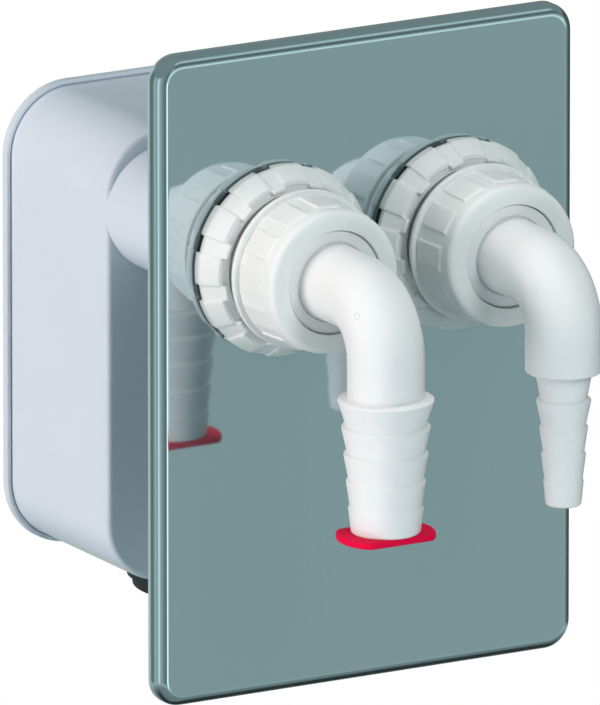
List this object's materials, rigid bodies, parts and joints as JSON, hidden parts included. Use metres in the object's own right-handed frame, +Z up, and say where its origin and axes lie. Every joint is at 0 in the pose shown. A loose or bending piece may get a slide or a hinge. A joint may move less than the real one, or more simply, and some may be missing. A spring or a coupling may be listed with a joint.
{
  "type": "concealed trap",
  "caption": "In-wall appliance drain trap: flat plastic housing, steel cover plate and two union-nut elbows with barbed hose tails, one of them plugged.",
  "frame": {"origin": "on the outlet spigot's axis, at the lower edge of its sealing ring", "axes": "+X to the right as seen from the room, +Y into the wall, +Z up along the outlet"},
  "size_m": [0.1298, 0.1889, 0.1811],
  "materials": {
    "pale_plastic": "satin moulded polypropylene",
    "white_plastic": "satin moulded polypropylene",
    "elbow_plastic": "smooth, lightly glossy polypropylene",
    "washer_plastic": "plain polyethylene",
    "polished_steel": "polished stainless steel sheet",
    "black_rubber": "matt rubber",
    "red_plastic": "glossy polyethylene"
  },
  "bodies": {
    "trap": {"housing": "pale_plastic", "rear_cover": "pale_plastic", "outlet_seal": "black_rubber", "cover_plate": "polished_steel", "wall_gasket_left": "black_rubber", "wall_gasket_right": "black_rubber", "nipple_left": "white_plastic", "nipple_right": "white_plastic", "neck_seal_left": "black_rubber", "neck_seal_right": "black_rubber", "ring_nut_left": "white_plastic", "ring_nut_right": "white_plastic", "union_nut_left": "white_plastic", "union_nut_right": "white_plastic", "slip_washer_left": "washer_plastic", "slip_washer_right": "washer_plastic"},
    "left_elbow": {"elbow_left": "elbow_plastic", "elbow_seal_left": "black_rubber", "blanking_plug": "red_plastic"},
    "right_elbow": {"elbow_right": "elbow_plastic", "elbow_seal_right": "black_rubber"}
  },
  "joints": [
    {"name": "left_elbow_swivel", "type": "hinge", "parent": "trap", "child": "left_elbow", "pos_m": [-0.02765, -0.1468, 0.11272], "axis": [0, 1, 0], "range_deg": [-10, 180]},
    {"name": "right_elbow_swivel", "type": "hinge", "parent": "trap", "child": "right_elbow", "pos_m": [0.02765, -0.1468, 0.11272], "axis": [0, 1, 0], "range_deg": [-180, 10]}
  ]
}
